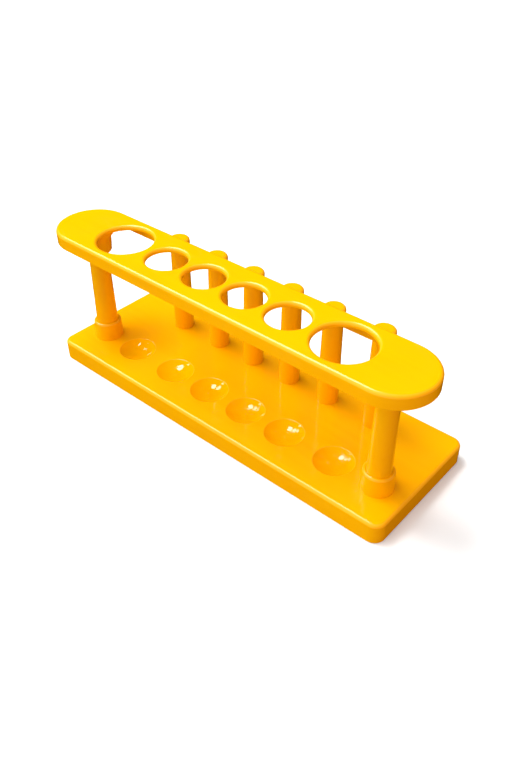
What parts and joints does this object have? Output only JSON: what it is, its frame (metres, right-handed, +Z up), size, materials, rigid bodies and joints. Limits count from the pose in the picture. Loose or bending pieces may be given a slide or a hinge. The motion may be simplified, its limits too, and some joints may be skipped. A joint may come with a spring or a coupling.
{
  "type": "test tube rack",
  "caption": "Test-tube rack: a hollow base with a row of shallow dishes, two collared posts, a raised top plate with a row of tube holes, and tapered drying pegs behind.",
  "frame": {"origin": "centre of the base's underside", "axes": "+X along the rack, -Y towards the tube holes, +Y towards the drying pegs, +Z up"},
  "size_m": [0.239, 0.079, 0.085],
  "materials": {
    "yellow_plastic": "glossy moulded, one colour throughout"
  },
  "bodies": {
    "base": {"base_plate": "yellow_plastic", "foot_collar_left": "yellow_plastic", "foot_collar_right": "yellow_plastic"},
    "post_left": {"post_left": "yellow_plastic"},
    "post_right": {"post_right": "yellow_plastic"},
    "top": {"top_plate": "yellow_plastic", "head_collar_left": "yellow_plastic", "head_collar_right": "yellow_plastic"},
    "peg_1": {"peg_1": "yellow_plastic"},
    "peg_2": {"peg_2": "yellow_plastic"},
    "peg_3": {"peg_3": "yellow_plastic"},
    "peg_4": {"peg_4": "yellow_plastic"},
    "peg_5": {"peg_5": "yellow_plastic"},
    "peg_6": {"peg_6": "yellow_plastic"}
  },
  "joints": [
    {"name": "post_left_lift", "type": "slide", "parent": "base", "child": "post_left", "axis": [0, 0, 1], "range_m": [0, 0.022]},
    {"name": "post_right_lift", "type": "slide", "parent": "base", "child": "post_right", "axis": [0, 0, 1], "range_m": [0, 0.022]},
    {"name": "top_plate_lift", "type": "slide", "parent": "post_left", "child": "top", "axis": [0, 0, 1], "range_m": [0, 0.015]},
    {"name": "peg_1_pull", "type": "slide", "parent": "base", "child": "peg_1", "axis": [0, 0, 1], "range_m": [0, 0.012]},
    {"name": "peg_2_pull", "type": "slide", "parent": "base", "child": "peg_2", "axis": [0, 0, 1], "range_m": [0, 0.012]},
    {"name": "peg_3_pull", "type": "slide", "parent": "base", "child": "peg_3", "axis": [0, 0, 1], "range_m": [0, 0.012]},
    {"name": "peg_4_pull", "type": "slide", "parent": "base", "child": "peg_4", "axis": [0, 0, 1], "range_m": [0, 0.012]},
    {"name": "peg_5_pull", "type": "slide", "parent": "base", "child": "peg_5", "axis": [0, 0, 1], "range_m": [0, 0.012]},
    {"name": "peg_6_pull", "type": "slide", "parent": "base", "child": "peg_6", "axis": [0, 0, 1], "range_m": [0, 0.012]}
  ],
  "couplings": [
    {"joint": "post_right_lift", "follows": "post_left_lift", "ratio": 1}
  ]
}
